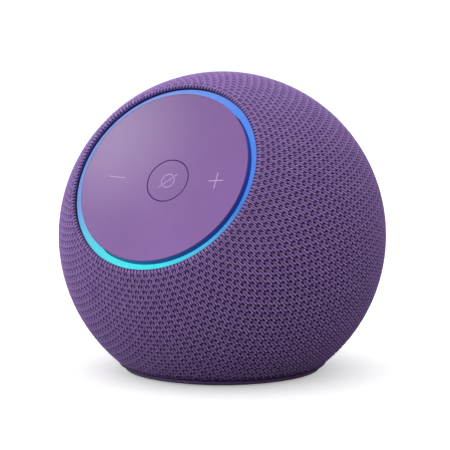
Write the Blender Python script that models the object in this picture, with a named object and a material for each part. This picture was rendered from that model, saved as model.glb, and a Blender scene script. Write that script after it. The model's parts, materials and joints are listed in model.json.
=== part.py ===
"""Smart speaker: a knitted sphere with a tilted, dished control panel inside a ring of light.

The sphere stands on a flat base.  A woofer fires down on to a deflector and out through a
slotted band, a tweeter fires forward under the panel, and the electronics stand at the back.
The front faces -Y and +Z is up.  Sizes are in millimetres and become metres in the meshes.
"""
import math

import bmesh
import bpy
from mathutils import Vector

# ---------------------------------------------------------------- driving sizes (mm, degrees)
SPHERE_R = 54.35
TOTAL_HEIGHT = 99.2
PANEL_TILT = 30.2           # how far the panel's axis rises above level
FABRIC_THICKNESS = 1.2
HOUSING_THICKNESS = 1.8
SHELL_GAP = 0.55            # between the fabric and the housing
GAP = 0.3                   # between pieces that touch
PANEL_R = 29.12
PANEL_CENTRE = 39.86        # from the sphere's centre, along the panel's axis
PANEL_RIM = 43.58
PANEL_WALL = 1.5
BUTTON_R = 7.06
WELL_R = 32.9               # the housing's round mouth
RING_IN = 29.45
RING_OUT = 31.6
RING_TOP = 41.85
SWITCH_X = 20.2             # the volume switches, either side of the rocker's axis
RIB_LOW = 38.4              # underside of the panel's rib, where the rocker pivots
BOARD_TOP = 35.5            # upper face of the control board, along the panel's axis
TWEETER_DIP = 30.0          # how far the tweeter's axis points down
INLET_Z = 19.0              # height of the power inlet
BASE_R = 32.6

MM = 0.001
CENTRE_Z = TOTAL_HEIGHT - SPHERE_R
FABRIC_IN = SPHERE_R - FABRIC_THICKNESS
HOUSING_R = FABRIC_IN - SHELL_GAP
HOUSING_IN = HOUSING_R - HOUSING_THICKNESS
DISH_CURVE = (PANEL_RIM - PANEL_CENTRE) / PANEL_R ** 2

# heights above the table
FOOT_TOP = 1.3
PLATE = (1.6, 3.2)
TRIM = (0.65, 1.9)
BAND = (3.5, 10.2)          # the slotted band that the woofer's sound leaves by
BAFFLE = (10.5, 12.0)
FLANGE = (12.3, 13.7)

# a frame is a place (mm) and a turn about X (degrees); its own Z is the piece's axis
WORLD = ((0.0, 0.0, 0.0), 0.0)
SPHERE = ((0.0, 0.0, CENTRE_Z), 0.0)
PANEL = ((0.0, 0.0, CENTRE_Z), 90.0 - PANEL_TILT)
TWEETER = ((0.0, 0.0, CENTRE_Z), 90.0 + TWEETER_DIP)
INLET = ((0.0, 0.0, INLET_Z), -90.0)
DRIVER = ((0.0, 0.0, 0.0), 0.0)

ROUND = 48                  # facets round a shell or a piece that shows
INNER = 32                  # facets round a piece inside
FINE = 12                   # facets round a screw or a pin


def clear_scene():
    for obj in list(bpy.data.objects):
        bpy.data.objects.remove(obj, do_unlink=True)


# ---------------------------------------------------------------- materials
PALETTE = {
    # name: (base colour, roughness, metallic)
    "knit_fabric": ((0.150, 0.095, 0.205), 0.95, 0.0),
    "panel_satin": ((0.300, 0.185, 0.370), 0.38, 0.0),
    "button_satin": ((0.295, 0.180, 0.365), 0.38, 0.0),
    "ring_diffuser": ((0.180, 0.720, 0.900), 0.45, 0.0),
    "trim_plastic": ((0.055, 0.040, 0.090), 0.50, 0.0),
    "housing_plastic": ((0.045, 0.045, 0.050), 0.60, 0.0),
    "base_plastic": ((0.050, 0.040, 0.070), 0.55, 0.0),
    "foot_rubber": ((0.025, 0.025, 0.027), 0.85, 0.0),
    "inner_plastic": ((0.060, 0.060, 0.065), 0.65, 0.0),
    "white_plastic": ((0.800, 0.800, 0.780), 0.50, 0.0),
    "steel_plate": ((0.520, 0.520, 0.530), 0.35, 1.0),
    "screw_steel": ((0.420, 0.420, 0.430), 0.30, 1.0),
    "aluminium_fin": ((0.700, 0.710, 0.730), 0.32, 1.0),
    "shield_tin": ((0.640, 0.650, 0.670), 0.28, 1.0),
    "magnet_ferrite": ((0.070, 0.070, 0.075), 0.55, 0.0),
    "coil_copper": ((0.620, 0.280, 0.130), 0.35, 1.0),
    "cone_paper": ((0.035, 0.035, 0.037), 0.80, 0.0),
    "surround_rubber": ((0.020, 0.020, 0.022), 0.60, 0.0),
    "spider_cloth": ((0.520, 0.330, 0.130), 0.90, 0.0),
    "dome_silk": ((0.040, 0.038, 0.045), 0.70, 0.0),
    "circuit_board": ((0.015, 0.085, 0.055), 0.45, 0.0),
    "chip_epoxy": ((0.020, 0.020, 0.022), 0.45, 0.0),
    "switch_plastic": ((0.030, 0.030, 0.032), 0.50, 0.0),
    "plunger_plastic": ((0.600, 0.130, 0.080), 0.45, 0.0),
    "flex_film": ((0.450, 0.210, 0.040), 0.35, 0.0),
    "wire_pvc": ((0.500, 0.030, 0.025), 0.45, 0.0),
    "contact_brass": ((0.780, 0.570, 0.280), 0.25, 1.0),
}


def material(name):
    """The Principled material of that name, made once."""
    found = bpy.data.materials.get(name)
    if found:
        return found
    colour, roughness, metallic = PALETTE[name]
    made = bpy.data.materials.new(name)
    made.use_nodes = True
    shader = made.node_tree.nodes["Principled BSDF"]
    shader.inputs["Base Color"].default_value = (*colour, 1.0)
    shader.inputs["Roughness"].default_value = roughness
    shader.inputs["Metallic"].default_value = metallic
    made.diffuse_color = (*colour, 1.0)
    return made


# ---------------------------------------------------------------- solids
def place(bm, name, slot, frame, smooth=True):
    """Turn a bmesh into an object standing in its frame."""
    bmesh.ops.recalc_face_normals(bm, faces=bm.faces)
    mesh = bpy.data.meshes.new(name)
    bm.to_mesh(mesh)
    bm.free()
    obj = bpy.data.objects.new(name, mesh)
    bpy.context.scene.collection.objects.link(obj)
    origin, turn = frame
    obj.location = Vector(origin) * MM
    obj.rotation_euler = (math.radians(turn), 0.0, 0.0)
    mesh.materials.append(material(slot))
    if smooth:
        mesh.shade_smooth()
        mesh.set_sharp_from_angle(angle=math.radians(35.0))
    return obj


def lathe(name, slot, frame, profile, segments=ROUND, centre=(0.0, 0.0)):
    """Turn a closed profile of (radius, height) points about the frame's Z."""
    bm = bmesh.new()
    rings = []
    for radius, height in profile:
        count = 1 if radius < 1e-6 else segments
        ring = []
        for k in range(count):
            angle = math.tau * k / segments
            x = centre[0] + radius * math.cos(angle)
            y = centre[1] + radius * math.sin(angle)
            ring.append(bm.verts.new(Vector((x, y, height)) * MM))
        rings.append(ring)
    for near, far in zip(rings, rings[1:] + rings[:1]):
        if len(near) == 1 and len(far) == 1:
            continue
        for k in range(segments):
            after = (k + 1) % segments
            corners = [near[k % len(near)], near[after % len(near)],
                       far[after % len(far)], far[k % len(far)]]
            bm.faces.new(list(dict.fromkeys(corners)))
    return place(bm, name, slot, frame)


def disc(name, slot, frame, radius, low, high, segments=FINE, centre=(0.0, 0.0)):
    """A plain round bar or plate from low to high."""
    profile = [(0.0, low), (radius, low), (radius, high), (0.0, high)]
    return lathe(name, slot, frame, profile, segments, centre)


def tube(name, slot, frame, inner, outer, low, high, segments=INNER):
    """A plain ring of rectangular section."""
    profile = [(inner, low), (outer, low), (outer, high), (inner, high)]
    return lathe(name, slot, frame, profile, segments)


def cells(name, slot, frame, steps, filled, corner=None, wrap=False, smooth=False):
    """Skin the filled cells of a grid; corner(u, v, w) says where a grid point stands.

    steps holds three rising lists; wrap joins the last u back to the first.
    """
    counts = [len(steps[0]) - (0 if wrap else 1), len(steps[1]) - 1, len(steps[2]) - 1]
    bm = bmesh.new()
    made = {}

    def solid(index):
        i, j, k = index
        if wrap:
            i %= counts[0]
        inside = all(0 <= n < count for n, count in zip((i, j, k), counts))
        return inside and filled(i, j, k)

    def vertex(index):
        i, j, k = index
        if wrap:
            i %= counts[0]
        if (i, j, k) not in made:
            point = (steps[0][i], steps[1][j], steps[2][k])
            where = corner(*point) if corner else point
            made[(i, j, k)] = bm.verts.new(Vector(where) * MM)
        return made[(i, j, k)]

    def side(index, axis, shift):
        across = [n for n in range(3) if n != axis]
        corners = []
        for a, b in ((0, 0), (1, 0), (1, 1), (0, 1)):
            point = list(index)
            point[axis] += shift
            point[across[0]] += a
            point[across[1]] += b
            corners.append(vertex(point))
        bm.faces.new(corners)

    for i in range(counts[0]):
        for j in range(counts[1]):
            for k in range(counts[2]):
                if not solid((i, j, k)):
                    continue
                for axis in range(3):
                    for shift in (0, 1):
                        beside = [i, j, k]
                        beside[axis] += 2 * shift - 1
                        if not solid(beside):
                            side((i, j, k), axis, shift)
    return place(bm, name, slot, frame, smooth)


def block(name, slot, low, high, frame=WORLD):
    """A plain box between two corners."""
    steps = [[low[n], high[n]] for n in range(3)]
    return cells(name, slot, frame, steps, lambda i, j, k: True)


def strip(name, slot, route, width, thickness):
    """A flat ribbon that follows a route of (y, z) points."""
    bm = bmesh.new()
    rows = []
    for n, (y, z) in enumerate(route):
        before = Vector(route[max(n - 1, 0)])
        after = Vector(route[min(n + 1, len(route) - 1)])
        along = (after - before).normalized()
        off = Vector((-along.y, along.x)) * thickness / 2
        row = []
        for x, sign in ((-1, -1), (1, -1), (1, 1), (-1, 1)):
            point = Vector((x * width / 2, y + sign * off.x, z + sign * off.y))
            row.append(bm.verts.new(point * MM))
        rows.append(row)
    for near, far in zip(rows, rows[1:]):
        for n in range(4):
            m = (n + 1) % 4
            bm.faces.new([near[n], near[m], far[m], far[n]])
    bm.faces.new(rows[0])
    bm.faces.new(rows[-1])
    return place(bm, name, slot, WORLD)


def pins(name, frame, spots, radius, low, high):
    """Several bars in one hidden cutter."""
    bm = bmesh.new()
    for x, y in spots:
        ends = []
        for height in (low, high):
            ends.append([
                bm.verts.new(Vector((x + radius * math.cos(math.tau * k / FINE),
                                     y + radius * math.sin(math.tau * k / FINE),
                                     height)) * MM)
                for k in range(FINE)
            ])
        for k in range(FINE):
            m = (k + 1) % FINE
            bm.faces.new([ends[0][k], ends[0][m], ends[1][m], ends[1][k]])
        bm.faces.new(ends[0])
        bm.faces.new(ends[1])
    return place(bm, name, "inner_plastic", frame)


def carve(target, tool, operation="DIFFERENCE"):
    """Cut the tool out of the target, or keep what they share, and hide the tool."""
    modifier = target.modifiers.new(tool.name, "BOOLEAN")
    modifier.operation = operation
    modifier.solver = "EXACT"
    modifier.object = tool
    tool.hide_render = True
    tool.display_type = "WIRE"


# ---------------------------------------------------------------- profile helpers
def arc(radius, start, end, steps, centre=(0.0, 0.0)):
    """Points on a circle, as (radius, height); angles in degrees from the +height axis."""
    points = []
    for n in range(steps + 1):
        angle = math.radians(start + (end - start) * n / steps)
        across = centre[0] + radius * math.sin(angle)
        points.append((max(across, 0.0), centre[1] + radius * math.cos(angle)))
    return points


def polar(radius, sphere):
    """Angle from the axis at which a sphere is this far from it."""
    return math.degrees(math.asin(radius / sphere))


def level(height, sphere):
    """Angle from +Z at which a sphere about the centre reaches a height above the table."""
    return math.degrees(math.acos((height - CENTRE_Z) / sphere))


def dish(radius):
    """Height of the panel's hollow face, along its axis from the sphere's centre."""
    return PANEL_CENTRE + DISH_CURVE * radius ** 2


# ---------------------------------------------------------------- cutters shared by the shells
def shell_cutters():
    """The panel's well, the inlet's hole and the tweeter's mouth."""
    return {
        "well": disc("cut_panel_well", "inner_plastic", PANEL, WELL_R, 15.0, 60.0, ROUND),
        "inlet": disc("cut_inlet", "inner_plastic", INLET, 8.8, 30.0, 62.0, 24),
        "tweeter": disc("cut_tweeter_mouth", "inner_plastic", TWEETER, 9.2, 44.0, 52.9, 24),
        "base": disc("cut_base", "inner_plastic", WORLD, 70.0, -20.0, TRIM[1] + GAP, 32),
    }


# ---------------------------------------------------------------- shells
def fabric_cover(cutters):
    """The knitted sleeve: it rolls in round the ring of light and ends above the trim."""
    lip_out = 33.9
    lip_in = 33.4
    outer = arc(SPHERE_R, polar(lip_out, SPHERE_R), 180.0, 13)
    inner = arc(FABRIC_IN, 180.0, polar(lip_in, FABRIC_IN), 13)
    rolled = [(31.5, 42.2), (31.2, 42.6), (31.4, 43.1), (32.0, 43.35), (32.9, 43.1)]
    cover = lathe("fabric_cover", "knit_fabric", PANEL, outer + inner + rolled)
    carve(cover, cutters["base"])
    carve(cover, cutters["inlet"])


def upper_housing(cutters):
    """The upper half of the plastic shell, open where the panel sits."""
    seam = level(CENTRE_Z + GAP / 2, HOUSING_R)
    profile = arc(HOUSING_R, 0.0, seam, 10) + arc(HOUSING_IN, seam, 0.0, 10)
    shell = lathe("upper_housing", "housing_plastic", SPHERE, profile)
    carve(shell, cutters["well"])


def lower_housing(cutters):
    """The lower half, from the seam down to the slotted band."""
    seam = level(CENTRE_Z - GAP / 2, HOUSING_R)
    outer = arc(HOUSING_R, seam, level(BAFFLE[0], HOUSING_R), 6)
    inner = arc(HOUSING_IN, level(BAFFLE[0], HOUSING_IN), seam, 6)
    shell = lathe("lower_housing", "housing_plastic", SPHERE, outer + inner)
    for key in ("well", "inlet", "tweeter"):
        carve(shell, cutters[key])


def sound_grille():
    """The slotted band under the housing that lets the woofer's sound out all round."""
    slots = 24
    turns = [360.0 * n / (2 * slots) for n in range(2 * slots)]
    heights = [BAND[0], BAND[0] + 1.2, BAND[1] - 1.2, BAND[1]]

    def corner(turn, sphere, height):
        radius = math.sqrt(sphere ** 2 - (CENTRE_Z - height) ** 2)
        angle = math.radians(turn)
        return radius * math.cos(angle), radius * math.sin(angle), height

    def filled(i, j, k):
        return k != 1 or i % 2 == 0

    cells("sound_grille", "housing_plastic", WORLD, [turns, [HOUSING_IN, HOUSING_R], heights],
          filled, corner, wrap=True)


# ---------------------------------------------------------------- base
def base_group():
    screws = [(15.0 * math.cos(math.tau * n / 3 + math.pi / 2),
               15.0 * math.sin(math.tau * n / 3 + math.pi / 2)) for n in range(3)]
    holes = pins("cut_base_holes", WORLD, screws, 1.5, -1.0, 9.0)

    lathe("base_foot", "foot_rubber", WORLD,
          [(22.0, 0.4), (22.6, 0.0), (29.6, 0.0), (30.4, 0.5), (30.4, FOOT_TOP),
           (22.0, FOOT_TOP)], INNER)
    lathe("base_trim", "trim_plastic", WORLD,
          [(31.6, TRIM[0]), (BASE_R - 0.3, TRIM[0]), (BASE_R, TRIM[0] + 0.3),
           (BASE_R + 0.3, TRIM[1] - 0.2), (BASE_R + 0.1, TRIM[1]), (31.6, TRIM[1])])
    plate = disc("base_plate", "base_plastic", WORLD, 31.2, PLATE[0], PLATE[1], ROUND)
    carve(plate, holes)
    deflector = lathe("sound_deflector", "inner_plastic", WORLD,
                      [(0.0, 3.5), (21.0, 3.5), (21.0, 4.6), (12.0, 5.4), (5.5, 7.0),
                       (2.0, 8.8), (0.0, 9.2)], INNER)
    carve(deflector, holes)
    for n, spot in enumerate(screws):
        lathe(f"base_screw_{n + 1}", "screw_steel", WORLD,
              [(0.0, 0.6), (2.4, 0.6), (2.6, 0.9), (2.6, 1.5), (1.2, 1.5), (1.2, 4.2),
               (0.0, 4.2)], FINE, spot)


# ---------------------------------------------------------------- power inlet
def inlet_group():
    bezel = lathe("inlet_bezel", "trim_plastic", INLET,
                  [(3.5, 36.6), (8.5, 36.6), (8.5, 58.0), (5.5, 58.0), (5.5, 40.0),
                   (3.5, 40.0)], 24)
    ball = lathe("cut_bezel_ball", "inner_plastic", SPHERE,
                 arc(SPHERE_R - 0.2, 0.0, 180.0, 24), ROUND)
    carve(bezel, ball, "INTERSECT")
    lathe("dc_jack_body", "switch_plastic", INLET,
          [(0.0, 30.5), (4.6, 30.5), (4.6, 36.3), (3.2, 36.3), (3.2, 39.6), (2.75, 39.6),
           (2.75, 31.6), (0.0, 31.6)], 16)
    lathe("dc_jack_pin", "contact_brass", INLET,
          [(0.0, 31.9), (1.0, 31.9), (1.0, 38.4), (0.6, 38.9), (0.0, 38.9)], FINE)
    strip("power_lead", "wire_pvc",
          [(33.4, 24.0), (33.0, 26.2), (33.3, 28.5), (34.4, 30.6), (34.9, 33.0)], 3.2, 1.6)


# ---------------------------------------------------------------- woofer
def woofer_static():
    spots = [(30.2 * math.cos(math.radians(45 + 90 * n)),
              30.2 * math.sin(math.radians(45 + 90 * n))) for n in range(4)]
    holes = pins("cut_woofer_holes", WORLD, spots, 0.95, 10.0, 20.0)
    baffle = tube("baffle_plate", "inner_plastic", WORLD, 28.9, 36.0, BAFFLE[0], BAFFLE[1])
    carve(baffle, holes)
    basket = woofer_basket()
    carve(basket, holes)
    for n, spot in enumerate(spots):
        lathe(f"woofer_screw_{n + 1}", "screw_steel", WORLD,
              [(0.0, 10.9), (0.7, 10.9), (0.7, 14.0), (1.2, 14.0), (1.2, 14.8), (0.0, 15.0)],
              12, spot)
    tube("woofer_front_plate", "steel_plate", DRIVER, 10.9, 19.0, 29.8, 33.0)
    tube("woofer_magnet", "magnet_ferrite", DRIVER, 12.5, 20.0, 33.3, 40.3)
    lathe("woofer_yoke", "steel_plate", DRIVER,
          [(0.0, 30.0), (9.3, 30.0), (9.3, 40.6), (19.0, 40.6), (19.0, 43.6), (0.0, 43.6)], INNER)


def woofer_basket():
    """Flange, six arms with windows between them, and the seat for the magnet."""
    outer = {12.3: 31.5, 13.7: 31.5, 13.9: 28.6, 27.0: 23.4, 29.5: 22.6}
    inner = {12.3: 24.8, 13.7: 24.8, 13.9: 27.3, 27.0: 22.2, 29.5: 15.0}
    arms = 6
    turns = [360.0 * (n + 0.25) / (4 * arms) for n in range(4 * arms)]

    def corner(turn, side, height):
        radius = outer[height] if side else inner[height]
        angle = math.radians(turn)
        return radius * math.cos(angle), radius * math.sin(angle), height

    def filled(i, j, k):
        return k != 2 or i % 4 == 0

    return cells("woofer_basket", "steel_plate", DRIVER, [turns, [0, 1], list(outer)],
                 filled, corner, wrap=True)


def woofer_moving():
    """The cone, its cap and its coil slide along Z; the surround and spider stretch."""
    roll = (24.05, 11.9)
    outer_roll = arc(2.35, 90.0, 270.0, 4, roll)
    inner_roll = arc(1.95, 270.0, 90.0, 4, roll)
    lathe("woofer_surround", "surround_rubber", DRIVER,
          [(28.6, 12.2), (28.6, 11.75)] + outer_roll + inner_roll + [(26.2, 12.2)], INNER)
    lathe("woofer_spider", "spider_cloth", DRIVER,
          [(10.7, 24.7), (13.0, 24.7), (15.5, 26.2), (18.0, 24.7), (22.1, 25.6),
           (22.1, 26.0), (18.0, 25.2), (15.5, 26.7), (12.9, 25.1), (10.7, 25.1)], INNER)
    lathe("woofer_cone", "cone_paper", DRIVER,
          [(21.4, 12.0), (21.4, 12.7), (11.1, 24.2), (10.6, 24.2), (10.6, 23.2)], INNER)
    lathe("woofer_dust_cap", "cone_paper", DRIVER,
          [(0.0, 18.4), (4.0, 18.8), (8.0, 20.0), (11.3, 21.6), (11.0, 21.9), (7.8, 20.5),
           (3.9, 19.3), (0.0, 18.9)], INNER)
    tube("woofer_voice_coil", "coil_copper", DRIVER, 9.7, 10.25, 22.7, 34.5)


# ---------------------------------------------------------------- tweeter
def tweeter_group():
    lathe("tweeter_frame", "inner_plastic", TWEETER,
          [(0.0, 41.0), (10.0, 41.0), (10.0, 48.7), (7.2, 48.7), (7.2, 47.4), (9.2, 46.9),
           (9.2, 42.0), (0.0, 42.0)], 24)
    tube("tweeter_magnet", "magnet_ferrite", TWEETER, 6.4, 8.8, 42.3, 45.6, 24)
    disc("tweeter_yoke", "steel_plate", TWEETER, 5.0, 42.3, 45.8, 24)
    tube("tweeter_voice_coil", "coil_copper", TWEETER, 5.35, 5.8, 43.2, 46.9, 24)
    lathe("tweeter_dome", "dome_silk", TWEETER,
          [(6.2, 47.2), (6.2, 47.5), (4.6, 48.7), (2.4, 49.4), (0.0, 49.7), (0.0, 49.3),
           (2.3, 49.0), (4.3, 48.4), (5.7, 47.2)], 24)
    lathe("tweeter_waveguide", "inner_plastic", TWEETER,
          [(6.9, 49.0), (8.8, 49.0), (8.8, 50.8), (8.3, 50.8)], 24)


# ---------------------------------------------------------------- control panel
def panel_fixed():
    lathe("panel_chassis", "inner_plastic", PANEL,
          [(0.0, 33.0), (32.5, 33.0), (32.5, 34.6), (35.2, 34.6), (35.2, 35.7), (32.5, 35.7),
           (32.5, 41.0), (31.9, 41.0), (31.9, 34.2), (0.0, 34.2)], 40)
    disc("control_board", "circuit_board", PANEL, 31.5, BOARD_TOP - 1.0, BOARD_TOP, 40)
    led_strip()
    tube("light_baffle", "inner_plastic", PANEL, 28.2, 29.1, BOARD_TOP + GAP, 39.7)
    lathe("light_ring", "ring_diffuser", PANEL,
          [(RING_IN, 37.0), (RING_OUT, 37.0), (RING_OUT, RING_TOP - 0.35),
           (RING_OUT - 0.35, RING_TOP), (RING_IN + 0.35, RING_TOP),
           (RING_IN, RING_TOP - 0.35)])
    for name, y in (("pivot_post_upper", SWITCH_X), ("pivot_post_lower", -SWITCH_X)):
        lathe(name, "inner_plastic", PANEL,
              [(0.0, BOARD_TOP + GAP), (1.6, BOARD_TOP + GAP), (1.2, 37.4), (1.2, 37.9),
               (0.6, RIB_LOW - 0.2), (0.0, RIB_LOW - 0.2)], FINE, (0.0, y))


def led_strip():
    """A ring of tape with twelve raised lamps on it."""
    lamps = 12
    turns = [360.0 * n / (4 * lamps) for n in range(4 * lamps)]

    def corner(turn, radius, height):
        angle = math.radians(turn)
        return radius * math.cos(angle), radius * math.sin(angle), height

    def filled(i, j, k):
        return k == 0 or i % 4 == 0

    cells("led_strip", "white_plastic", PANEL,
          [turns, [29.9, 31.1], [BOARD_TOP + GAP, 36.1, 36.7]], filled, corner, wrap=True)


def tact_switch(name, centre, top):
    """A switch case with a bored middle, and the plunger that travels in it."""
    low = BOARD_TOP + 0.1
    half = 2.6
    radius_in = 1.3
    profile = [(radius_in, low), (half, low), (half, top), (radius_in, top)]
    lathe(f"{name}_switch", "switch_plastic", PANEL, profile, FINE, centre)


def plunger(name, centre, low, top):
    disc(f"{name}_plunger", "plunger_plastic", PANEL, 1.0, low, top, 12, centre)


def panel_moving():
    """The rocking panel stands on its pivot; the button slides down through its middle."""
    tilt = math.radians(PANEL_TILT)
    pivot = (0.0, -RIB_LOW * math.cos(tilt), CENTRE_Z + RIB_LOW * math.sin(tilt))
    rocker = (pivot, PANEL[1])
    hole = BUTTON_R + 0.24
    face = [(hole, dish(hole))]
    face += [(r, dish(r)) for r in (12.0, 17.0, 21.5, 25.5)]
    rim = [(28.6, PANEL_RIM - 0.1), (28.9, PANEL_RIM), (PANEL_R, PANEL_RIM - 0.25),
           (PANEL_R, 40.6), (28.0, 40.6), (28.0, dish(28.0) - PANEL_WALL)]
    under = [(21.4, dish(21.4) - PANEL_WALL)]
    rib = [(21.2, RIB_LOW), (19.2, RIB_LOW), (19.0, dish(19.0) - PANEL_WALL)]
    inner = [(hole, dish(hole) - PANEL_WALL)]
    profile = [(r, h - RIB_LOW) for r, h in face + rim + under + rib + inner]
    lathe("control_panel", "panel_satin", rocker, profile)
    lathe("mute_button", "button_satin", PANEL,
          [(0.0, PANEL_CENTRE), (3.5, dish(3.5)), (BUTTON_R - 0.25, dish(BUTTON_R)),
           (BUTTON_R, dish(BUTTON_R) - 0.25), (BUTTON_R, 38.2), (8.4, 38.2), (8.4, 37.6),
           (1.8, 37.6), (1.8, 37.1), (0.0, 37.1)], INNER)


def switches():
    tact_switch("mute", (0.0, 0.0), 36.4)
    plunger("mute", (0.0, 0.0), 35.95, 36.95)
    for name, x in (("volume_down", -SWITCH_X), ("volume_up", SWITCH_X)):
        tact_switch(name, (x, 0.0), 37.2)
        plunger(name, (x, 0.0), 36.0, RIB_LOW - 0.4)


# ---------------------------------------------------------------- electronics
def board_group():
    spots = [(-19.0, 35.0), (19.0, 62.0), (-19.0, 62.0), (19.0, 35.0)]
    upright = ((0.0, 0.0, 0.0), -90.0)
    holes = pins("cut_board_holes", upright, [(x, -z) for x, z in spots], 1.15, 33.5, 42.0)
    board = block("main_board", "circuit_board", (-22.0, 36.0, 31.0), (22.0, 37.2, 66.0))
    carve(board, holes)
    frame = cells("board_frame", "inner_plastic", WORLD,
                  [[-21.5, -16.5, 16.5, 21.5], [37.5, 39.3], [32.0, 37.5, 59.5, 65.0]],
                  lambda i, j, k: not (i == 1 and k == 1))
    carve(frame, holes)
    for n, (x, z) in enumerate(spots[:2]):
        lathe(f"board_screw_{n + 1}", "screw_steel", upright,
              [(0.0, 34.9), (1.9, 34.9), (1.9, 35.9), (0.9, 35.9), (0.9, 39.1), (0.0, 39.1)],
              FINE, (x, -z))
    block("processor_chip", "chip_epoxy", (-9.0, 34.2, 44.0), (3.0, 35.8, 56.0))
    cells("processor_shield", "shield_tin", WORLD,
          [[-15.0, -14.4, 8.4, 9.0], [32.0, 32.6, 35.7], [39.0, 39.6, 60.4, 61.0]],
          lambda i, j, k: not (i == 1 and j == 1 and k == 1))
    heat_sink()
    block("amplifier_chip", "chip_epoxy", (11.5, 34.6, 48.0), (19.0, 35.7, 56.0))
    block("antenna", "circuit_board", (39.5, -6.0, 50.0), (40.5, 6.0, 70.0))
    strip("panel_flex_cable", "flex_film",
          [(-16.0, 82.4), (-12.5, 84.5), (-6.0, 85.8), (2.0, 85.6), (10.0, 83.4),
           (18.0, 79.4), (25.0, 74.2), (31.0, 68.6), (34.2, 64.6), (35.3, 61.8)], 10.0, 0.5)


def heat_sink():
    fins = 7
    xs = []
    for n in range(fins):
        left = -14.0 + n * 22.0 / (fins - 0.5)
        xs += [left, left + 22.0 / (fins - 0.5) / 2]
    cells("heat_sink", "aluminium_fin", WORLD, [xs, [24.5, 29.9, 31.7], [41.0, 59.0]],
          lambda i, j, k: j == 1 or i % 2 == 0)


def build():
    clear_scene()
    cutters = shell_cutters()
    fabric_cover(cutters)
    upper_housing(cutters)
    lower_housing(cutters)
    sound_grille()
    base_group()
    inlet_group()
    woofer_static()
    woofer_moving()
    tweeter_group()
    panel_fixed()
    panel_moving()
    switches()
    board_group()


build()
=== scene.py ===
# %% [markdown]
# # A knitted smart speaker
# The speaker is a ball in a knitted sleeve.  A dished plastic panel looks out of it, tilted up,
# with a ring of light round it.  The frame of plain solids comes first, because every piece
# below takes its place from it.

# %% Load the frame
import json
import math

import bmesh
import bpy
import numpy as np
from mathutils import Matrix, Vector


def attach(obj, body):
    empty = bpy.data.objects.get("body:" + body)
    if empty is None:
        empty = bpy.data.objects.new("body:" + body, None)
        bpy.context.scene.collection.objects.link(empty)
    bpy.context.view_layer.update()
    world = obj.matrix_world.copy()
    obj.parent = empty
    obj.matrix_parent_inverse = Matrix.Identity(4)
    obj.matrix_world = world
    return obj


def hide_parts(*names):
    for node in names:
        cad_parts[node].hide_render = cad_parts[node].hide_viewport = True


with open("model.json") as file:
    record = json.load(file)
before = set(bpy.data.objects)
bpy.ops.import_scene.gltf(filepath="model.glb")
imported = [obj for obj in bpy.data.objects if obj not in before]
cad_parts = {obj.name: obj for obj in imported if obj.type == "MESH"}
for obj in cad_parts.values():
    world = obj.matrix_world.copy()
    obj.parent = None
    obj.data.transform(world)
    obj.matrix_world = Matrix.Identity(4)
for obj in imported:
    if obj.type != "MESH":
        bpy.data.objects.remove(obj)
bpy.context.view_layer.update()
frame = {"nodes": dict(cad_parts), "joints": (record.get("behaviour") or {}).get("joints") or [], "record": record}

# %% [markdown]
# ## Measures
# The panel, the ring and the knit all turn about one axis, which leaves the ball's centre and
# rises towards the front.  The mute button slides along it, so its joint gives the direction,
# and the rocking panel's pivot gives the place.

# %% Axes and driving sizes
MM = 0.001
BALL_R = 54.35              # outside of the knit, in mm from the ball's centre
PIVOT_AT = 38.4             # the rocker's pivot, along the panel's axis

joints = {joint["name"]: joint for joint in frame["joints"]}
AXIS = -Vector(joints["mute_press"]["axis"]).normalized()
UPWARD = Vector(joints["panel_rock"]["axis"]).normalized()
ACROSS = UPWARD.cross(AXIS).normalized()
CENTRE = Vector(joints["panel_rock"]["pos_m"]) - AXIS * PIVOT_AT * MM

PANEL_FRAME = Matrix.Translation(CENTRE) @ Matrix((ACROSS, UPWARD, AXIS)).transposed().to_4x4()
WORLD_FRAME = Matrix.Identity(4)
print("centre (mm):", [round(v / MM, 2) for v in CENTRE], "across:", list(ACROSS))

# %% [markdown]
# ## From points to pieces
# A piece is a list of points and a list of faces.  The points are written in millimetres, in
# whichever frame suits the piece, and one helper stands them in the world.

# %% A mesh from points and faces
SHARP_EDGE = 35.0           # degrees; a corner turned further than this stays crisp


def mesh_object(name, points, faces, frame_matrix=WORLD_FRAME, smooth=True):
    """Make an object from points in millimetres, standing in its frame."""
    mesh = bpy.data.meshes.new(name)
    points = np.asarray(points, float) * MM
    turned = points @ np.array(frame_matrix.to_3x3()).T + np.array(frame_matrix.translation)
    mesh.from_pydata(turned.tolist(), [], faces)
    mesh.validate()
    bm = bmesh.new()
    bm.from_mesh(mesh)
    bmesh.ops.recalc_face_normals(bm, faces=bm.faces)
    bm.to_mesh(mesh)
    bm.free()
    obj = bpy.data.objects.new(name, mesh)
    bpy.context.scene.collection.objects.link(obj)
    if smooth:
        mesh.shade_smooth()
        mesh.set_sharp_from_angle(angle=math.radians(SHARP_EDGE))
    return obj


print("corners stay crisp above", SHARP_EDGE, "degrees")

# %% [markdown]
# ## Turned pieces
# Most hard pieces here are round.  They could be cut from cylinders, but a lathe is the quickest
# honest way to make them: draw half of the section once, and turn it.  The helper takes
# (radius, height) points.  Moulded corners are never quite sharp, so a second helper rounds a
# section's corners, and a third one draws arcs.

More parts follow.
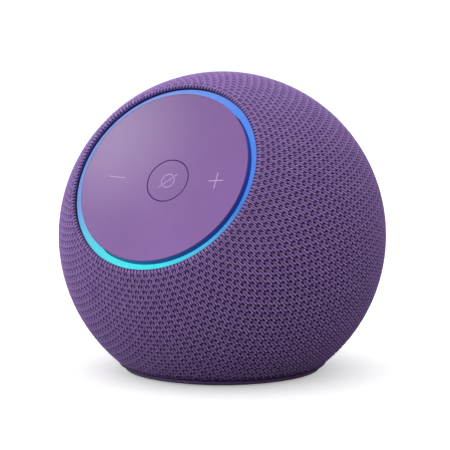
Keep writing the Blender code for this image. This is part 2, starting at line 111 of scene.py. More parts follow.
# %% A lathe
def lathe(name, profile, frame_matrix=PANEL_FRAME, segments=192, shape=None):
    """Turn a closed section about the frame's Z; shape may move the points afterwards."""
    points, rings = [], []
    for radius, height in profile:
        count = 1 if radius < 1e-6 else segments
        turns = np.arange(count) * math.tau / segments
        rings.append(np.arange(count) + len(points))
        points += [(radius * math.cos(a), radius * math.sin(a), height) for a in turns]
    faces = []
    for near, far in zip(rings, rings[1:] + rings[:1]):
        if len(near) == 1 and len(far) == 1:
            continue
        for k in range(segments):
            m = (k + 1) % segments
            loop = (near[k % len(near)], near[m % len(near)],
                    far[m % len(far)], far[k % len(far)])
            faces.append([int(v) for v in dict.fromkeys(loop)])
    points = np.array(points)
    if shape is not None:
        points = shape(points)
    return mesh_object(name, points, faces, frame_matrix)


print("the lathe turns sections about", [round(v, 3) for v in AXIS])


# %% Rounded corners and arcs
def rounded(corners, radius=0.3, steps=4):
    """Round every corner of a closed section."""
    out = []
    for before, here, after in zip(corners[-1:] + corners[:-1], corners,
                                   corners[1:] + corners[:1]):
        here = np.array(here, float)
        if here[0] < 1e-6:
            out.append(tuple(here))
            continue
        a, b = np.array(before, float) - here, np.array(after, float) - here
        reach = min(radius, 0.45 * np.linalg.norm(a), 0.45 * np.linalg.norm(b))
        start = here + a / np.linalg.norm(a) * reach
        end = here + b / np.linalg.norm(b) * reach
        for n in range(steps + 1):
            t = n / steps
            point = (1 - t) ** 2 * start + 2 * t * (1 - t) * here + t ** 2 * end
            out.append(tuple(point))
    return out


def arc(radius, start, end, steps, centre=(0.0, 0.0)):
    """Points on a circle, as (radius, height); angles in degrees from the +height axis."""
    angles = np.radians(np.linspace(start, end, steps + 1))
    return [(max(centre[0] + radius * math.sin(a), 0.0), centre[1] + radius * math.cos(a))
            for a in angles]


print("half a quarter turn of 10 mm ends at", [round(v, 2) for v in arc(10.0, 0.0, 45.0, 2)[-1]])

# %% [markdown]
# ## Materials from nodes
# A shader is a small program.  These helpers keep it readable: one adds a node, one sets its
# values, one wires it, and one makes a node group with named sockets.

# %% A helper for node trees
class Tree:
    """A thin wrapper that adds nodes to a tree and wires them by name."""

    def __init__(self, tree):
        self.tree = tree

    def add(self, kind, **settings):
        node = self.tree.nodes.new(kind)
        for name, value in settings.items():
            setattr(node, name, value)
        return node

    def wire(self, source, target):
        self.tree.links.new(source, target)

    def feed(self, socket, value):
        """Wire a socket into an input, or set a plain value there."""
        if isinstance(value, bpy.types.NodeSocket):
            self.wire(value, socket)
        else:
            socket.default_value = value

    def math(self, operation, a, b=0.0, c=0.0, clamp=False):
        node = self.add("ShaderNodeMath", operation=operation, use_clamp=clamp)
        for socket, value in zip(node.inputs, (a, b, c)):
            self.feed(socket, value)
        return node.outputs[0]

    def vector(self, operation, a, b=(0, 0, 0)):
        node = self.add("ShaderNodeVectorMath", operation=operation)
        for socket, value in zip(node.inputs, (a, b)):
            self.feed(socket, value)
        return node.outputs["Value" if operation in ("DOT_PRODUCT", "LENGTH") else "Vector"]

    def mix(self, factor, a, b):
        node = self.add("ShaderNodeMix", data_type="RGBA")
        self.feed(node.inputs["Factor"], factor)
        self.feed(node.inputs[6], a)
        self.feed(node.inputs[7], b)
        return node.outputs[2]

    def span(self, value, low, high, to_low=0.0, to_high=1.0):
        node = self.add("ShaderNodeMapRange")
        for socket, number in zip(node.inputs, (value, low, high, to_low, to_high)):
            self.feed(socket, number)
        return node.outputs[0]

    def group(self, group, **values):
        node = self.add("ShaderNodeGroup", node_tree=group)
        for name, value in values.items():
            self.feed(node.inputs[name.replace("_", " ")], value)
        return node


print("tree helper:", ", ".join(name for name in vars(Tree) if not name.startswith("_")))


# %% Groups, materials and colours
def node_group(name, takes, gives):
    """A shader node group; takes and gives are lists of (name, kind, default)."""
    group = bpy.data.node_groups.new(name, "ShaderNodeTree")
    for socket_name, kind, default in takes:
        socket = group.interface.new_socket(socket_name, in_out="INPUT",
                                            socket_type=f"NodeSocket{kind}")
        socket.default_value = default
    for socket_name, kind in gives:
        group.interface.new_socket(socket_name, in_out="OUTPUT",
                                   socket_type=f"NodeSocket{kind}")
    tree = Tree(group)
    return group, tree, tree.add("NodeGroupInput").outputs, tree.add("NodeGroupOutput").inputs


def principled(name, **constants):
    """A new material with its constant values set straight on the shader."""
    made = bpy.data.materials.new(name)
    made.use_nodes = True
    tree = Tree(made.node_tree)
    shader = made.node_tree.nodes["Principled BSDF"]
    for key, value in constants.items():
        shader.inputs[key.replace("_", " ")].default_value = value
    return made, tree, shader


def srgb(red, green, blue):
    """A colour as it is read off a screen, turned into light."""
    def light(value):
        value /= 255.0
        return value / 12.92 if value <= 0.04045 else ((value + 0.055) / 1.055) ** 2.4
    return (light(red), light(green), light(blue), 1.0)


def dress(obj, material):
    """Give an object one material."""
    obj.data.materials.clear()
    obj.data.materials.append(material)


print("a middle grey on a screen is", round(srgb(128, 128, 128)[0], 3), "of full light")

# %% [markdown]
# ## Three effects that many finishes share
# Moulded plastic is never one flat value: the tool leaves a fine grain, handling polishes the
# edges, and dust settles on what faces up.  Each effect is a group, so that every finish below
# can use it with values of its own.

# %% Grain
def build_grain():
    """Fine moulded grain: a height, and a slow drift of tone."""
    group, tree, takes, gives = node_group(
        "Moulded grain", [("Scale", "Float", 900.0), ("Depth", "Float", 1.0)],
        [("Height", "Float"), ("Tone", "Float")])
    where = tree.add("ShaderNodeTexCoord").outputs["Object"]
    fine = tree.add("ShaderNodeTexNoise")
    fine.inputs["Detail"].default_value = 3.0
    tree.wire(where, fine.inputs["Vector"])
    tree.wire(takes["Scale"], fine.inputs["Scale"])
    slow = tree.add("ShaderNodeTexNoise")
    slow.inputs["Scale"].default_value = 60.0
    tree.wire(where, slow.inputs["Vector"])
    tree.wire(tree.math("MULTIPLY", fine.outputs[0], takes["Depth"]), gives["Height"])
    tree.wire(slow.outputs[0], gives["Tone"])
    return group


GRAIN = build_grain()
print("shared effect:", GRAIN.name)


# %% Edge wear
def build_wear():
    """A mask along edges, where a finish rubs thin."""
    group, tree, takes, gives = node_group(
        "Edge wear", [("Width", "Float", 0.0004), ("Patchiness", "Float", 400.0)],
        [("Mask", "Float")])
    bevel = tree.add("ShaderNodeBevel", samples=4)
    tree.wire(takes["Width"], bevel.inputs["Radius"])
    true_normal = tree.add("ShaderNodeNewGeometry").outputs["Normal"]
    turned = tree.math("SUBTRACT", 1.0, tree.vector("DOT_PRODUCT", bevel.outputs[0], true_normal))
    patch = tree.add("ShaderNodeTexNoise")
    tree.wire(tree.add("ShaderNodeTexCoord").outputs["Object"], patch.inputs["Vector"])
    tree.wire(takes["Patchiness"], patch.inputs["Scale"])
    edge = tree.span(turned, 0.02, 0.25)
    tree.wire(tree.math("MULTIPLY", edge, patch.outputs[0], clamp=True), gives["Mask"])
    return group


WEAR = build_wear()
print("shared effect:", WEAR.name)


# %% Dust
def build_dust():
    """A mask on what faces up, broken into specks."""
    group, tree, takes, gives = node_group(
        "Settled dust", [("Amount", "Float", 0.1), ("Scale", "Float", 700.0)],
        [("Mask", "Float")])
    facing = tree.vector("DOT_PRODUCT", tree.add("ShaderNodeNewGeometry").outputs["Normal"],
                         (0.0, 0.0, 1.0))
    specks = tree.add("ShaderNodeTexNoise")
    specks.inputs["Detail"].default_value = 5.0
    tree.wire(tree.add("ShaderNodeTexCoord").outputs["Object"], specks.inputs["Vector"])
    tree.wire(takes["Scale"], specks.inputs["Scale"])
    spotted = tree.span(specks.outputs[0], 0.45, 0.75)
    lying = tree.math("MULTIPLY", spotted, tree.span(facing, 0.2, 1.0))
    tree.wire(tree.math("MULTIPLY", lying, takes["Amount"], clamp=True), gives["Mask"])
    return group


DUST = build_dust()
print("shared effect:", DUST.name)

# %% [markdown]
# The shell, the frames and the metal parts differ only in colour, gloss and grain, so one recipe
# makes all their finishes.  Each still gets values of its own, because a cast basket, a moulded
# frame and a turned magnet don't look alike.

# %% One recipe for hard finishes
RUBBED = 0.35               # how far a worn edge pales
DUSTED = 0.06               # how much dust lies on what faces up
DUST_COLOUR = srgb(176, 170, 178)


def finish(name, colour, worn, rough, metallic=0.0, grain=900.0, depth=0.2):
    """A moulded or metal finish: grain in the surface, pale worn edges and a little dust."""
    made, tree, shader = principled(name, Metallic=metallic)
    grained = tree.group(GRAIN, Scale=grain, Depth=1.0)
    edges = tree.group(WEAR, Width=0.0004, Patchiness=500.0)
    dusty = tree.group(DUST, Amount=DUSTED, Scale=800.0)
    darker = tuple(c * 0.86 for c in colour[:3]) + (1.0,)
    toned = tree.mix(tree.span(grained.outputs["Tone"], 0.35, 0.65), darker, colour)
    rubbed = tree.mix(tree.math("MULTIPLY", edges.outputs["Mask"], RUBBED), toned, worn)
    tree.wire(tree.mix(dusty.outputs["Mask"], rubbed, DUST_COLOUR), shader.inputs["Base Color"])
    tree.wire(tree.span(grained.outputs["Height"], 0.3, 0.7, rough - 0.05, rough + 0.05),
              shader.inputs["Roughness"])
    bump = tree.add("ShaderNodeBump")
    bump.inputs["Strength"].default_value = depth
    bump.inputs["Distance"].default_value = 0.00005
    tree.wire(grained.outputs["Height"], bump.inputs["Height"])
    tree.wire(bump.outputs[0], shader.inputs["Normal"])
    return made


print("hard finishes: edges pale by", RUBBED, "and dust covers", DUSTED)

# %% [markdown]
# ## The knit
# The sleeve is one knitted tube, pulled over the ball along the panel's axis.  Its repeat goes
# 88 times round that axis, and a row of repeats is staggered by half against the next, so the
# eye sees diamonds.  In each repeat two legs of yarn meet in a loop, and three small openings
# stand round the loop's head.  The openings are written once, as soft spots, and are used
# twice: they push the mesh in, and the shader paints shade into the yarn where they are.

# %% The stitch, as soft spots
REPEATS = 88                # round the axis
ROW = 3.49                  # mm from one repeat to the next along the sleeve
DEEPEST = 1.2               # where two openings run together, their sum stops here

# name: (across, along, half width, half length, depth), in repeats from the stitch's middle
SPOTS = {
    "side opening": (0.200, 0.10, 0.080, 0.125, 1.55),
    "head opening": (0.00, -0.07, 0.068, 0.075, 1.10),
    "head slit": (0.00, -0.27, 0.042, 0.090, 0.65),
    "leg groove": (0.00, 0.37, 0.034, 0.160, 0.50),
}


def openings(u, v):
    """How deep the knit is open at (u, v), from 0 to DEEPEST."""
    deep = np.zeros_like(u)
    for shift in (0.0, 0.5):
        a = np.abs((u + shift + 0.5) % 1.0 - 0.5)
        b = (v + shift + 0.5) % 1.0 - 0.5
        for across, along, wide, tall, depth in SPOTS.values():
            deep += depth * np.exp(-((a - across) / wide) ** 2 - ((b - along) / tall) ** 2)
    return np.minimum(deep, DEEPEST)


print("openings in a stitch:", ", ".join(SPOTS))

# %% [markdown]
# Between the openings the yarn itself stands up.  Two staggered stitches share the width of a
# repeat, so it has four legs of yarn, and a ridge stands where the heads of a row of loops meet.
# Along the inner edge the knit ends in a hem of small stitches, which shows as a row of notches
# over the ring.

# %% Legs, ridges and the hem
HOLE_DEPTH = 0.60           # mm
LEG_RISE = 0.08             # mm that each leg of yarn stands up
LEG_AT = 0.125              # the middle of a leg, in repeats
LEGS = 4                    # to a repeat
ROW_RISE = 0.16             # mm that each row of loops stands up
RIDGE_AT = 0.30             # the top of a row, in repeats
HEM_LOW = 0.88              # the hem's notches, in rows from the inner edge
HEM_HIGH = 1.36
HEM_DEPTH = 0.25            # mm


def leg_height(u):
    """Legs of yarn, standing up between the openings."""
    return 0.5 + 0.5 * np.cos(math.tau * LEGS * (u - LEG_AT))


def row_height(v):
    """The loops' heads stand up in a ridge along each half row."""
    return 0.5 + 0.5 * np.cos(math.tau * 2 * (v - RIDGE_AT))


def hem_notch(u, v):
    """Notches between the hem's small stitches, two to a repeat."""
    tooth = np.clip(np.abs((u * 2.0 + 0.5) % 1.0 - 0.5) * 4.0 - 0.5, 0.0, 1.0)
    reach = HEM_LOW + (HEM_HIGH - HEM_LOW) * tooth
    return np.clip((reach - v) / 0.12 + 0.5, 0.0, 1.0)


def knit_relief(u, v):
    """How far the surface stands off the sleeve's smooth path, in mm."""
    return (LEG_RISE * (leg_height(u) - 1.0)
            + ROW_RISE * (row_height(v) - 1.0)
            - HOLE_DEPTH * openings(u, v) * (v > HEM_HIGH)
            - HEM_DEPTH * hem_notch(u, v))


sample = knit_relief(*np.meshgrid(np.linspace(0, 1, 60), np.linspace(3, 4, 60)))
print("relief of a stitch:", round(sample.min(), 2), "to", round(sample.max(), 2), "mm")

# %% [markdown]
# The sleeve's path runs from inside the panel's well, over a soft lip, round the ball to the
# back.  Near the table the knit turns under and is tucked in above the trim, and at the back
# it is pulled in round the power inlet.

# %% The sleeve's path from the lip to the back
# (radius, height) in mm, from the hidden inner edge up over the lip
LIP = [(33.0, 41.05), (32.2, 41.12), (31.78, 41.45), (31.55, 42.0), (31.3, 42.45),
       (31.12, 42.85), (31.3, 43.22), (31.9, 43.45), (32.8, 43.22)]
LIP_JOIN = 33.9             # where the roll runs on to the ball
BACK_END = 174.0            # degrees from the panel's axis
POINTS_PER_REPEAT = 10      # along the sleeve and round it


def sleeve_path():
    """Evenly spaced points (radius, height) with their normals and run of length."""
    start = math.degrees(math.asin(LIP_JOIN / BALL_R))
    rough = np.array(LIP + arc(BALL_R, start, BACK_END, 400))
    for _ in range(2):
        inner = rough[1:len(LIP) + 1]
        rough[1:len(LIP) + 1] = (rough[:len(LIP)] + 2 * inner + rough[2:len(LIP) + 2]) / 4
    steps = np.linalg.norm(np.diff(rough, axis=0), axis=1)
    run = np.concatenate([[0.0], np.cumsum(steps)])
    count = int(run[-1] / ROW * POINTS_PER_REPEAT)
    at = np.linspace(0.0, run[-1], count)
    path = np.stack([np.interp(at, run, rough[:, n]) for n in (0, 1)], axis=1)
    along = np.gradient(path, axis=0)
    along /= np.linalg.norm(along, axis=1)[:, None]
    normal = np.stack([-along[:, 1], along[:, 0]], axis=1)
    return path, normal, at


print("rows from lip to back:", round(sleeve_path()[2][-1] / ROW, 1))


# %% The lower edge and the inlet
EDGE_Z = 2.15               # mm above the table where the knit turns under
TUCK_R = 1.0                # radius of that turn
TUCK_IN = 1.2               # how far the knit runs in after the turn
INLET_Z = 19.0              # height of the inlet's middle
INLET_HOLE = 8.7            # radius of the hole in the knit
INLET_PULL = 2.5            # how deep the knit goes behind the bezel
TRIM_OFF = 2.6              # past this the knit is out of sight, and is cut off


def turn_under(points):
    """Roll the knit's lower edge inwards."""
    above = points[:, 2] - EDGE_Z - TUCK_R
    low = above < 0
    flat = points[low][:, :2]
    radius = np.linalg.norm(flat, axis=1)
    turn = np.minimum(-above[low] / TUCK_R, math.pi / 2)
    rest = np.maximum(-above[low] / TUCK_R - math.pi / 2, 0.0) * TUCK_R
    edge_r = math.sqrt(BALL_R ** 2 - (CENTRE.z / MM - EDGE_Z - TUCK_R) ** 2)
    target = edge_r - TUCK_R * (1 - np.cos(turn)) * 0.9 - np.minimum(rest, TUCK_IN)
    points[low, :2] = flat * (target / radius)[:, None]
    points[low, 2] = EDGE_Z + TUCK_R - TUCK_R * np.sin(turn)
    return points


def tuck_round_inlet(points):
    """Pull the knit in round the inlet's bezel."""
    side = np.hypot(points[:, 0], points[:, 2] - INLET_Z)
    near = (side < INLET_HOLE) & (points[:, 1] > 0)
    push = INLET_HOLE - side[near]
    scale = INLET_HOLE / np.maximum(side[near], 1e-6)
    points[near, 0] *= scale
    points[near, 2] = INLET_Z + (points[near, 2] - INLET_Z) * scale
    points[near, 1] -= np.minimum(push, INLET_PULL)
    return points


def out_of_sight(points):
    """Which points of the plain ball lie under the base or behind the inlet's bezel."""
    side = np.hypot(points[:, 0], points[:, 2] - INLET_Z)
    behind = (side < INLET_HOLE - TRIM_OFF) & (points[:, 1] > 0)
    return behind | (points[:, 2] < EDGE_Z - TRIM_OFF)


print("the knit turns under", EDGE_Z, "mm above the table")


# %% [markdown]
# A real knit could be made of single strands, but 88 repeats in 38 rows would need many millions
# of faces.  A fine grid with the stitch pressed into it catches the light in the same way.  Each
# point keeps its place in the stitch as a UV, so the shader finds the same openings.

# %% The sleeve's grid
def swept(path, normal, rise, turns):
    """The path turned about the panel's axis, standing off it by rise."""
    radius = path[:, :1] + normal[:, :1] * rise
    height = path[:, 1:] + normal[:, 1:] * rise
    local = np.stack([radius * np.cos(turns), radius * np.sin(turns), height], axis=2)
    spin = np.array(PANEL_FRAME.to_3x3())
    return local.reshape(-1, 3) @ spin.T + np.array(CENTRE) / MM


def square_metres(corner):
    """Area of the cloth, from the diagonals of its quads."""
    across = np.cross(corner[:, 2] - corner[:, 0], corner[:, 3] - corner[:, 1])
    return np.linalg.norm(across, axis=1).sum() / 2 * MM ** 2


def build_sleeve():
    """Points, quads, the stitch coordinates of every quad's corners, and the cloth's area."""
    path, normal, at = sleeve_path()
    columns = REPEATS * POINTS_PER_REPEAT
    turns = np.arange(columns) * math.tau / columns
    grid_u, grid_v = np.meshgrid(np.arange(columns) / columns * REPEATS, at / ROW)
    rise = knit_relief(grid_u, grid_v)
    smooth = swept(path, normal, np.zeros_like(rise), turns)
    relief = swept(path, normal, rise, turns) - smooth
    cloth = tuck_round_inlet(turn_under(smooth.copy()))
    index = np.arange(grid_u.size).reshape(grid_u.shape)
    after = np.roll(index, -1, axis=1)
    quads = np.stack([index[:-1], after[:-1], after[1:], index[1:]], axis=2).reshape(-1, 4)
    keep = ~out_of_sight(smooth)[quads].any(axis=1)
    next_u = grid_u + REPEATS / columns
    loops_u = np.stack([grid_u[:-1], next_u[:-1], next_u[1:], grid_u[1:]], axis=2)
    loops_v = np.stack([grid_v[:-1], grid_v[:-1], grid_v[1:], grid_v[1:]], axis=2)
    stitch = np.stack([loops_u.reshape(-1, 4), loops_v.reshape(-1, 4)], axis=2)
    return cloth + relief, quads[keep], stitch[keep], square_metres(cloth[quads[keep]])


print("grid:", REPEATS * POINTS_PER_REPEAT, "points round the sleeve")


# %% Knit the sleeve
def make_sleeve():
    """Build the mesh from arrays, with the stitch coordinates kept as a UV map."""
    world, quads, stitch_places, cloth = build_sleeve()
    used = np.unique(quads)
    renumber = np.zeros(len(world), int)
    renumber[used] = np.arange(len(used))
    quads = renumber[quads]
    mesh = bpy.data.meshes.new("knit_sleeve")
    mesh.vertices.add(len(used))
    mesh.vertices.foreach_set("co", (world[used] * MM).ravel())
    mesh.loops.add(quads.size)
    mesh.loops.foreach_set("vertex_index", quads.ravel())
    mesh.polygons.add(len(quads))
    mesh.polygons.foreach_set("loop_start", np.arange(len(quads)) * 4)
    mesh.update(calc_edges=True)
    stitch = mesh.uv_layers.new(name="stitch")
    stitch.data.foreach_set("uv", stitch_places.ravel())
    mesh.shade_smooth()
    mesh.validate()
    obj = bpy.data.objects.new("knit_sleeve", mesh)
    bpy.context.scene.collection.objects.link(obj)
    return obj, float(cloth)


sleeve, cloth_area = make_sleeve()
print("knit:", len(sleeve.data.vertices), "points,", round(cloth_area * 1e4), "square cm")


# %% [markdown]
# The same spots paint shade into the yarn.  One group measures a single soft spot, a second adds up the
# spots of one stitch, and a third lays two stitches half a repeat apart, which makes the knit.

# %% One soft spot
def build_spot():
    """One soft spot: 1 at its middle, and 0 a little way off."""
    group, tree, takes, gives = node_group(
        "Soft spot",
        [("Place", "Vector", (0, 0, 0)), ("Middle", "Vector", (0, 0, 0)),
         ("Size", "Vector", (1, 1, 1)), ("Depth", "Float", 1.0)], [("Mask", "Float")])
    offset = tree.vector("SUBTRACT", takes["Place"], takes["Middle"])
    scaled = tree.vector("DIVIDE", offset, takes["Size"])
    square = tree.vector("DOT_PRODUCT", scaled, scaled)
    fall = tree.math("EXPONENT", tree.math("MULTIPLY", square, -1.0))
    tree.wire(tree.math("MULTIPLY", fall, takes["Depth"]), gives["Mask"])
    return group


SPOT = build_spot()
print("group:", SPOT.name)


# %% One stitch
def build_stitch(spot):
    """All the openings of one stitch, from coordinates in repeats."""
    group, tree, takes, gives = node_group(
        "Knit stitch", [("Place", "Vector", (0, 0, 0)), ("Shift", "Float", 0.0)],
        [("Openings", "Float")])
    moved = tree.vector("ADD", takes["Place"], takes["Shift"])
    parts = tree.add("ShaderNodeSeparateXYZ")
    tree.wire(moved, parts.inputs[0])
    across = tree.math("ABSOLUTE", tree.math("WRAP", parts.outputs[0], 0.5, -0.5))
    along = tree.math("WRAP", parts.outputs[1], 0.5, -0.5)
    folded = tree.add("ShaderNodeCombineXYZ")
    tree.wire(across, folded.inputs[0])
    tree.wire(along, folded.inputs[1])
    total = None
    for a, b, wide, tall, depth in SPOTS.values():
        mask = tree.group(spot, Place=folded.outputs[0], Middle=(a, b, 0.0),
                          Size=(wide, tall, 1.0), Depth=depth).outputs["Mask"]
        total = mask if total is None else tree.math("ADD", total, mask)
    tree.wire(total, gives["Openings"])
    return group


STITCH = build_stitch(SPOT)
print("group:", STITCH.name)


# %% The whole knit
def build_knit(stitch):
    """The whole knit: how open it is, its yarn legs, and the twist of the yarn."""
    group, tree, takes, gives = node_group(
        "Knit", [("Place", "Vector", (0, 0, 0))],
        [("Openings", "Float"), ("Legs", "Float"), ("Twist", "Float")])
    near = tree.group(stitch, Place=takes["Place"], Shift=0.0).outputs["Openings"]
    far = tree.group(stitch, Place=takes["Place"], Shift=0.5).outputs["Openings"]
    tree.wire(tree.math("ADD", near, far, clamp=True), gives["Openings"])
    parts = tree.add("ShaderNodeSeparateXYZ")
    tree.wire(takes["Place"], parts.inputs[0])
    from_leg = tree.math("SUBTRACT", parts.outputs[0], LEG_AT)
    legs = tree.math("COSINE", tree.math("MULTIPLY", from_leg, math.tau * LEGS))
    tree.wire(tree.math("MULTIPLY_ADD", legs, 0.5, 0.5), gives["Legs"])
    lean = tree.math("ABSOLUTE", tree.math("WRAP", parts.outputs[0], 0.25, -0.25))
    turns = tree.math("MULTIPLY_ADD", lean, 14.0, tree.math("MULTIPLY", parts.outputs[1], 7.0))
    twist = tree.math("SINE", tree.math("MULTIPLY", turns, math.tau))
    tree.wire(tree.math("MULTIPLY_ADD", twist, 0.5, 0.5), gives["Twist"])
    return group


KNIT = build_knit(STITCH)
print("group:", KNIT.name)

# %% [markdown]
# ## The yarn
# The cover is knitted from a melange yarn: close tones twisted together, with pale fuzz on top.
# One noise drifts along the strands and a finer one stands for loose fibres.  The knit group
# then says where a leg, a valley or an opening is.  The shader paints shade into the valleys, the
# openings, the hem's notches and the tucked edge, and paints the ring's blue light under the lip.
# Fuzz also glows at grazing angles, which is what the shader's sheen is for.

# %% Tones along the strands
PALE_FUZZ = srgb(188, 160, 212)


def melange(tree, uv):
    """The yarn's own tone, and the noise of its fibres."""
    fibre = tree.add("ShaderNodeTexNoise")
    fibre.inputs["Scale"].default_value = 9.0
    fibre.inputs["Detail"].default_value = 4.0
    tree.wire(uv, fibre.inputs["Vector"])
    strand = tree.add("ShaderNodeTexNoise")
    strand.inputs["Scale"].default_value = 1.0
    tree.wire(tree.vector("MULTIPLY", uv, (4.0, 0.35, 1.0)), strand.inputs["Vector"])
    tone = tree.mix(tree.span(strand.outputs[0], 0.3, 0.7), srgb(142, 107, 181),
                    srgb(172, 137, 206))
    fuzz = tree.span(fibre.outputs[0], 0.35, 0.75, 0.0, 0.35)
    return tree.mix(fuzz, tone, PALE_FUZZ), fibre.outputs[0]


print("fuzz tone:", [round(v, 2) for v in PALE_FUZZ[:3]])


# %% The hem and the tucked edge, where shade is painted
TUCK_LOW, TUCK_HIGH = 0.0027, 0.0036        # metres above the table


def hem_notch_paint_mask(tree, across, along):
    """The hem's notches, where the mesh has them: the mask for their painted shade and painted ring light."""
    reach = tree.span(tree.math("PINGPONG", across, 0.25), 0.0625, 0.1875, HEM_LOW, HEM_HIGH)
    return tree.span(tree.math("SUBTRACT", reach, along), -0.04, 0.04)


def tuck_shade_dashes(tree, across):
    """Painted shade: short dark dashes where the knit turns under at the base."""
    low = tree.add("ShaderNodeSeparateXYZ")
    tree.wire(tree.add("ShaderNodeTexCoord").outputs["Object"], low.inputs[0])
    tucked = tree.span(low.outputs[2], TUCK_LOW, TUCK_HIGH, 1.0, 0.0)
    wave = tree.math("COSINE", tree.math("MULTIPLY", across, math.tau * 2))
    return tree.math("MULTIPLY", tucked, tree.span(wave, -0.6, 0.4, 0.25, 0.9))


print("the tucked edge darkens below", round(TUCK_HIGH / MM, 1), "mm")


# %% The yarn's relief, finer than the mesh
BUMP_DEPTH = 0.0003         # metres


def yarn_bump(tree, knit, fibre):
    """The openings again, the legs, the twist of the yarn and its fibres, as one normal."""
    height = tree.math("MULTIPLY_ADD", knit.outputs["Openings"], -1.0,
                       tree.math("MULTIPLY", knit.outputs["Legs"], 0.35))
    height = tree.math("MULTIPLY_ADD", knit.outputs["Twist"], 0.10, height)
    height = tree.math("MULTIPLY_ADD", fibre, 0.15, height)
    bump = tree.add("ShaderNodeBump")
    bump.inputs["Strength"].default_value = 0.7
    bump.inputs["Distance"].default_value = BUMP_DEPTH
    tree.wire(height, bump.inputs["Height"])
    return bump.outputs[0]


print("the bump is", round(BUMP_DEPTH / MM, 1), "mm deep")


# %% The yarn
# painted shade: the yarn's colour darkens in the knit's openings, the hem's notches and the tucked edge
OPENING_SHADE = -2.9         # how fast the tone falls as the knit opens


def yarn_material():
    """Pale on the legs, with painted shade in the valleys, openings, notches and tucked edge, and painted ring
    light under the lip.
    """
    made, tree, shader = principled("knit_yarn", Roughness=0.9, Sheen_Weight=0.12,
                                    Sheen_Roughness=0.45, Specular_IOR_Level=0.2)
    shader.inputs["Sheen Tint"].default_value = srgb(206, 178, 222)
    uv = tree.add("ShaderNodeUVMap", uv_map="stitch").outputs[0]
    knit = tree.group(KNIT, Place=uv)
    parts = tree.add("ShaderNodeSeparateXYZ")
    tree.wire(uv, parts.inputs[0])
    across, along = parts.outputs[0], parts.outputs[1]
    tone, fibre = melange(tree, uv)
    # painted shade: the yarn darkens in the valleys between its legs and between its rows of loops
    between = tree.mix(tree.span(knit.outputs["Legs"], 0.0, 0.6), srgb(116, 84, 152), tone)
    from_ridge = tree.math("SUBTRACT", along, RIDGE_AT)
    ridge = tree.math("COSINE", tree.math("MULTIPLY", from_ridge, math.tau * 2))
    between = tree.mix(tree.span(ridge, -1.0, 1.0, 0.22, 0.0), between, srgb(84, 56, 116))
    # painted shade in the hem's notches, the knit's openings and the tucked edge
    notch = hem_notch_paint_mask(tree, across, along)
    past_hem = tree.span(along, HEM_HIGH - 0.05, HEM_HIGH + 0.05)
    holes = tree.math("MULTIPLY", knit.outputs["Openings"], past_hem)
    holes = tree.math("MULTIPLY_ADD", notch, 0.85, holes)
    holes = tree.math("ADD", holes, tuck_shade_dashes(tree, across))
    closed = tree.math("EXPONENT", tree.math("MULTIPLY", holes, OPENING_SHADE))
    # painted light: the ring's blue on the lip's underside, turning to painted shade higher up the notches
    ring_light_then_shade = tree.mix(tree.span(along, 0.64, 0.92), srgb(104, 100, 196), srgb(28, 18, 62))
    # painted shade in the openings and the tuck; the notches take painted ring light and shade
    shade = tree.mix(notch, srgb(26, 12, 46), ring_light_then_shade)
    tree.wire(tree.mix(closed, shade, between), shader.inputs["Base Color"])
    tree.wire(yarn_bump(tree, knit, fibre), shader.inputs["Normal"])
    return made


dress(sleeve, yarn_material())
print("yarn:", sleeve.data.materials[0].name)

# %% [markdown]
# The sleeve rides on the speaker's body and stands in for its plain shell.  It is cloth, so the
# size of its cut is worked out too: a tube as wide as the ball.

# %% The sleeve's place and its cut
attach(sleeve, "speaker")
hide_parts("fabric_cover")
TUBE_SPARE = 2.0            # mm of the run that the cut does without, behind the inlet
tube = (math.tau * BALL_R * MM, (sleeve_path()[2][-1] - TUBE_SPARE) * MM)
print("tube of cloth (mm):", [round(side / MM) for side in tube])


# %% [markdown]
# ## The panel and its button
# The panel is a shallow dish of satin plastic with a tight rounded rim, and the mute button in
# its middle goes on with the same hollow.  Both are turned sections.  Many short steps keep the
# hollow smooth, because a satin surface shows every flat.

# %% The hollow
PANEL_R = 29.12             # mm
PANEL_MID = 39.86           # mm from the ball's centre to the hollow's middle
PANEL_RIM = 43.58           # and to its rim
DISH = (PANEL_RIM - PANEL_MID) / PANEL_R ** 2


def dish(radius):
    """Height of the hollow face at a radius, in mm along the panel's axis."""
    return PANEL_MID + DISH * radius ** 2


def dish_run(start, end, steps, drop=0.0):
    """Points of a section along the hollow, or a drop below it."""
    return [(r, dish(r) - drop) for r in np.linspace(start, end, steps)]


print("the hollow is", round(PANEL_RIM - PANEL_MID, 2), "mm deep")


# %% The dished panel
SEAM_R = 7.28               # the hole for the button
RIM_ROUND = 0.20            # radius of the rim's outer corner
PANEL_FOOT = 40.6           # the lower end of the panel's side wall
WALL_IN = 28.0              # the inner radius of that wall
SKIN = 1.5                  # thickness of the dish


def panel_profile():
    """The hollow face, the rim, the side wall, the underside and the button's hole."""
    rim = arc(RIM_ROUND, -20.0, 90.0, 6,
              (PANEL_R - RIM_ROUND, PANEL_RIM - RIM_ROUND - 0.02))
    wall = [(PANEL_R, PANEL_FOOT + 0.1), (PANEL_R - 0.1, PANEL_FOOT), (WALL_IN, PANEL_FOOT)]
    under = dish_run(WALL_IN, SEAM_R + 0.1, 8, SKIN)
    seam = [(SEAM_R, dish(SEAM_R) - SKIN + 0.1), (SEAM_R, dish(SEAM_R) - 0.08)]
    return dish_run(SEAM_R + 0.08, PANEL_R - RIM_ROUND - 0.1, 40) + rim + wall + under + seam


panel = lathe("dished_panel", panel_profile(), segments=256)
print("panel:", len(panel.data.polygons), "faces")


# %% The mute button
BUTTON_R = 7.06
FLANGE_R = 8.3              # a flange under the panel keeps the button in
FLANGE_TOP, FLANGE_FOOT = 38.15, 37.65


